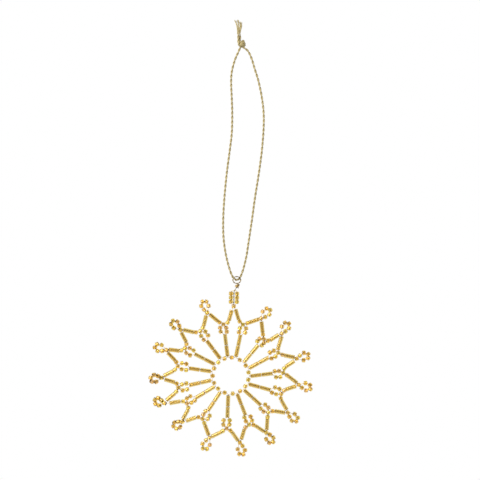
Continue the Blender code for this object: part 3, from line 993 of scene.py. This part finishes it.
def makeKnot():
    shape = bmesh.new()
    strands = (
        (-0.5, cordRoute[0], tailPoints(leftTail, leftSide)[0]),
        (0.5, cordRoute[-1], tailPoints(rightTail, rightSide)[0]),
    )
    for off, start, tailStart in strands:
        route = [Vector(start) * mm, *knotPoints(knotRise, off), *knotTurnPoints(off)]
        route += [*knotPoints(knotLeave, off), tailStart + Vector((0.0, 0.0, knotSizes["intoTail"]))]
        places, _ = evenRoute(route, cordStep)
        for line in twistedPlies(places):
            addPly(shape, line, [knotSizes["plyRadius"]] * len(line), cord["plySides"])
    return finishPiece("cord_knot_tied", shape, ["cord_knot"], [thread])


knotPiece = makeKnot()
print("cord, knot and tails are made")


# The star

def makeRing():
    shape = newPiece()
    feet = [ray["foot"] for ray in rays]
    wire = []
    for index, foot in enumerate(feet):
        after = feet[(index + 1) % rayCount]
        centre = (foot.normalized() + after.normalized()).normalized() * ringRadius
        axis = (after - foot).normalized()
        addSeed(shape, centre, axis)
        bend = foot.length - spacing["apart"] - wireRadius
        wire.append(foot.normalized() * bend)
        wire.append(centre - axis * bead["seedLength"] / 2)
        wire.append(centre + axis * bead["seedLength"] / 2)
    addWire(shape, wire, closed=True)
    return finishPiece("centre_ring_beads", shape, ["centre_ring"], shift=starMiddle)


def makeSpoke(index):
    ray = rays[index]
    way = (ray["end"] - ray["foot"]).normalized()
    shape = newPiece()
    addTube(shape, ray["foot"], ray["foot"] + way * bead["tubeLength"])
    addTube(shape, ray["end"] - way * bead["tubeLength"], ray["end"])
    start = ray["foot"].normalized() * (ray["foot"].length - spacing["apart"] - wireRadius)
    side = clockwise(way) * stringing["radius"] * stringing["doubled"]
    for across in (-1, 1):
        addWire(shape, [place + side * across for place in (start, ray["foot"], ray["end"])])
    name = f"spoke_{index + 1:02d}"
    return finishPiece(name + "_beads", shape, [name], shift=starMiddle)


def makeInnerLoop(index):
    ray = rays[index]
    shape = newPiece()
    string = [*reversed(ray["seeds"][2:]), ray["head"], *reversed(ray["seeds"][:2])]
    ends = [ray["end"], *string, ray["end"]]
    for before, place, after in zip(ends, string, ends[2:]):
        addSeed(shape, place, after - before)
    inSpoke = ray["end"] - ray["way"] * stringing["intoSpoke"]
    addWire(shape, smoothRoute([inSpoke, *string, inSpoke], stringing["loopStep"]))
    name = f"inner_loop_{index + 1:02d}"
    return finishPiece(name + "_beads", shape, [name], shift=starMiddle)


def addLeg(shape, base, head, seed, aim):
    axis = ((aim - seed).normalized() + (seed - head).normalized()).normalized()
    addSeed(shape, seed, axis)
    mouth = seed + axis * bead["seedLength"] / 2
    way = (aim - mouth).normalized()
    room = (aim - mouth).length - bead["tubeLength"] - bead["seedLength"] / 2
    tube = mouth + way * room * spacing["legGap"] / (spacing["legGap"] + spacing["tipGap"])
    end = tube + way * bead["tubeLength"]
    addTube(shape, tube, end)
    return [head, seed - axis * bead["seedLength"] / 2, mouth, tube, end, base]


def makePoint(index):
    tip = tips[index]
    way, base = tip["way"], tip["base"]
    shape = newPiece()
    wires = [addLeg(shape, base, *leg) for leg in tip["legs"]]
    addSeed(shape, base, way)
    for wire in wires:
        addWire(shape, wire)
    if "columns" in tip:
        seedRise = way * bead["seedLength"]
        onStem = lastSeeds + seedRise * stringing["joinsStem"] + tip["side"] * eyeSizes["stemBow"] / 2
        for column in tip["columns"]:
            places = [base, *column, column[-1] * 2 - column[-2]]
            for before, place, after in zip(places, column, places[2:]):
                addSeed(shape, place, after - before)
            turnsIn = column[-1] + seedRise * stringing["overColumn"]
            addWire(shape, smoothRoute([base, *column, turnsIn, onStem], stringing["columnStep"]))
    else:
        mouth = base + way * bead["seedLength"] * stringing["intoTip"]
        places = [mouth, *tip["seeds"], mouth]
        for before, place, after in zip(places, tip["seeds"], places[2:]):
            addSeed(shape, place, after - before)
        addWire(shape, smoothRoute([base, *tip["seeds"], base], stringing["loopStep"]))
    name = f"point_{index + 1:02d}"
    return finishPiece(name + "_beads", shape, [name], shift=starMiddle)


makeRing()
for number in range(rayCount):
    makeSpoke(number)
    makeInnerLoop(number)
    makePoint(number)
print("the star's beads are strung")


# The hanging eye: two wires twisted up the stem and round it, and one wound round the stem

twist = {
    "step": 0.35 * mm,  # between points of a wire
    "stepsPerTurn": 11,
    "eyeSteps": 44,  # round the whole eye, a whole number of turns
    "apart": 0.95,  # wire radii that each wire lies off the pair's middle
    "eyeWire": 0.20 * mm,  # radius of each of the eye's two wires
    "bowRise": 1.3,  # seed lengths over the columns' last seeds, where the stem bows out most
    "foldRise": 0.5,  # and where it is back in the middle
}
wraps = {
    "width": 2.55 * mm,
    "turns": 4,
    "pitch": 1.2,  # wire widths
    "lean": 24.0,  # degrees that the stem leans to the left under the eye
    "drop": 0.5 * mm,  # from the eye to their top
    "start": 0.5,  # turns under their top
    "slant": 0.9 * mm,  # how far each turn drops from its right side to its left
    "sides": 8,
    "stepsPerTurn": 14,
    "firstStep": 4,  # steps of a turn before the first point
    "unwound": 0.6,  # turns before the bottom, where the winding ends
    "tuckAcross": 0.5 * mm,  # how far its end is tucked in
    "tuckDown": 0.2 * mm,
    "cutLength": 1.55 * mm,  # of the other wire's cut end
    "cutWay": 122.0,  # degrees clockwise from straight up
}


def onEye(degrees):
    way = polar(degrees)
    return eyeMiddle + Vector((way.x * eyeSizes["halfWidth"], 0.0, way.z * eyeSizes["halfHeight"]))


def addTwistedPair(shape, places, closed=False, wire=stringing["radius"]):
    frames = sideways(places)
    for strand in (0, 1):
        line = []
        for count, (place, (across, up)) in enumerate(zip(places, frames)):
            turn = 2 * math.pi * (count / twist["stepsPerTurn"] + strand / 2)
            line.append(place + (across * math.cos(turn) + up * math.sin(turn)) * wire * twist["apart"])
        # both wires take the dark finish: aged wire round the eye, painted shade on the stem
        addWire(shape, line, wire, closed, slot=agedEyeAndStemShadeSlot)


def addWraps(shape, mouth, lean, wrapTop, wrapStep):
    radius = wraps["width"] / 2 - wireRadius
    across = clockwise(lean)
    turns = []
    steps = wraps["stepsPerTurn"]
    for count in range(wraps["firstStep"], int((wraps["turns"] - wraps["unwound"]) * steps) + 1):
        turn = 2 * math.pi * count / steps
        offset = (across * math.cos(turn) + Vector((0.0, math.sin(turn), 0.0))) * radius
        drop = wrapStep * (count / steps + wraps["start"]) + math.cos(turn) * wraps["slant"] / 2
        turns.append(wrapTop + lean * drop + offset)
    tucked = turns[-1] - across * wraps["tuckAcross"] + lean * wraps["tuckDown"]
    addWire(shape, [mouth, *turns, tucked], wireRadius, sides=wraps["sides"], slot=woundSlot)


def makeEye():
    shape = newPiece()
    seedRise = topTip["way"] * bead["seedLength"]
    lean = polar(180 + wraps["lean"])
    mouth = onEye(eyeSizes["mouth"])
    wrapTop = mouth + lean * wraps["drop"]
    wrapStep = bead["wireWidth"] * wraps["pitch"]
    bottom = wrapTop + lean * wrapStep * wraps["turns"]
    bow = lastSeeds + seedRise * twist["bowRise"] + topTip["side"] * eyeSizes["stemBow"]
    fold = lastSeeds + seedRise * twist["foldRise"]
    first = (topTip["columns"][0][0] + topTip["columns"][1][0]) / 2
    # the stem's twisted pair is darkened with the eye's finish as painted shade
    for route in ([mouth, bottom, bow], [bow, fold, first, topTip["base"]]):
        places, _ = evenRoute(route, twist["step"])
        addTwistedPair(shape, places)
    steps = twist["eyeSteps"]
    eye = [onEye(eyeSizes["mouth"] - 360 * count / steps) for count in range(steps)]
    addTwistedPair(shape, eye, closed=True, wire=twist["eyeWire"])
    addWraps(shape, mouth, lean, wrapTop, wrapStep)
    cut = bottom + polar(wraps["cutWay"], wraps["cutLength"])
    addWire(shape, [bottom, cut], wireRadius, sides=wraps["sides"], slot=woundSlot)
    name = "hanger_eye"
    return finishPiece(name + "_wire", shape, [name], eyeMaterials, starMiddle)


makeEye()
print("the eye is wound")
